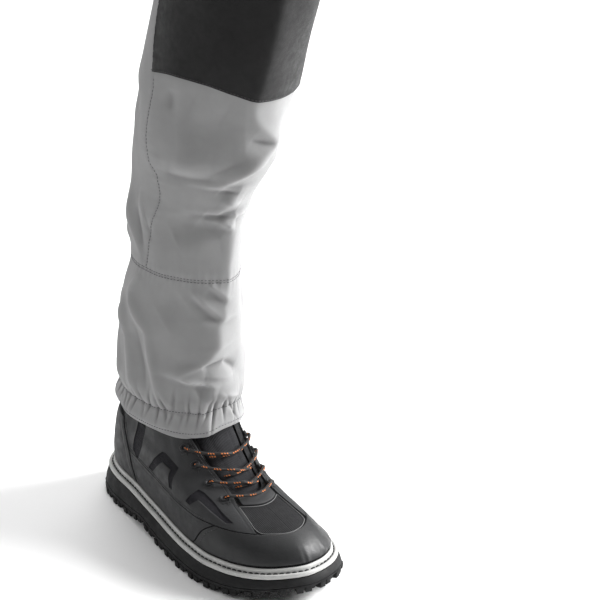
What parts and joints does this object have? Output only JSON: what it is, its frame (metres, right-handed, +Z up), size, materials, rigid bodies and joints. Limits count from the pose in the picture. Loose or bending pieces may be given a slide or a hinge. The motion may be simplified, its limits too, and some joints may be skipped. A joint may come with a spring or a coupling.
{
  "type": "wading boot with wader leg",
  "caption": "Right wading boot with a lugged sole, welt and laced upper, worn under the gathered guard and reinforced lower leg of a breathable fabric wader.",
  "frame": {"origin": "on the floor under the middle of the heel, on the central heel lug", "axes": "+X towards the toe, +Y towards the medial side of this right boot, +Z up the leg"},
  "size_m": [0.3368, 0.1556, 0.562],
  "materials": {
    "tread_rubber": "matte rubber",
    "midsole_black": "matte rubber",
    "welt_grey": "satin",
    "footbed_grey": "matte",
    "boot_base": "ribbed mesh",
    "boot_synthetic": "matte grained synthetic",
    "tongue_fabric": "matte",
    "eyelet_plastic": "matte",
    "lace_cord": "woven round cord",
    "wader_fabric": "matte woven shell",
    "knee_fabric": "matte woven reinforcement"
  },
  "bodies": {
    "root": {"outsole": "tread_rubber", "midsole": "midsole_black", "welt": "welt_grey", "insole": "footbed_grey", "upper": "boot_base", "tongue": "tongue_fabric", "toe_cap": "boot_synthetic", "heel_counter": "boot_synthetic", "rand_lateral": "boot_synthetic", "rand_medial": "boot_synthetic", "quarter_lateral": "boot_synthetic", "quarter_medial": "boot_synthetic", "throat_bridge": "boot_synthetic", "eyelet_lateral_1": "eyelet_plastic", "eyelet_lateral_2": "eyelet_plastic", "eyelet_lateral_3": "eyelet_plastic", "eyelet_lateral_4": "eyelet_plastic", "eyelet_medial_1": "eyelet_plastic", "eyelet_medial_2": "eyelet_plastic", "eyelet_medial_3": "eyelet_plastic", "eyelet_medial_4": "eyelet_plastic", "lace_bar": "lace_cord", "lace_cross_1": "lace_cord", "lace_cross_2": "lace_cord", "lace_cross_3": "lace_cord", "gravel_guard": "wader_fabric", "leg_shell": "wader_fabric", "knee_panel": "knee_fabric"}
  },
  "joints": []
}
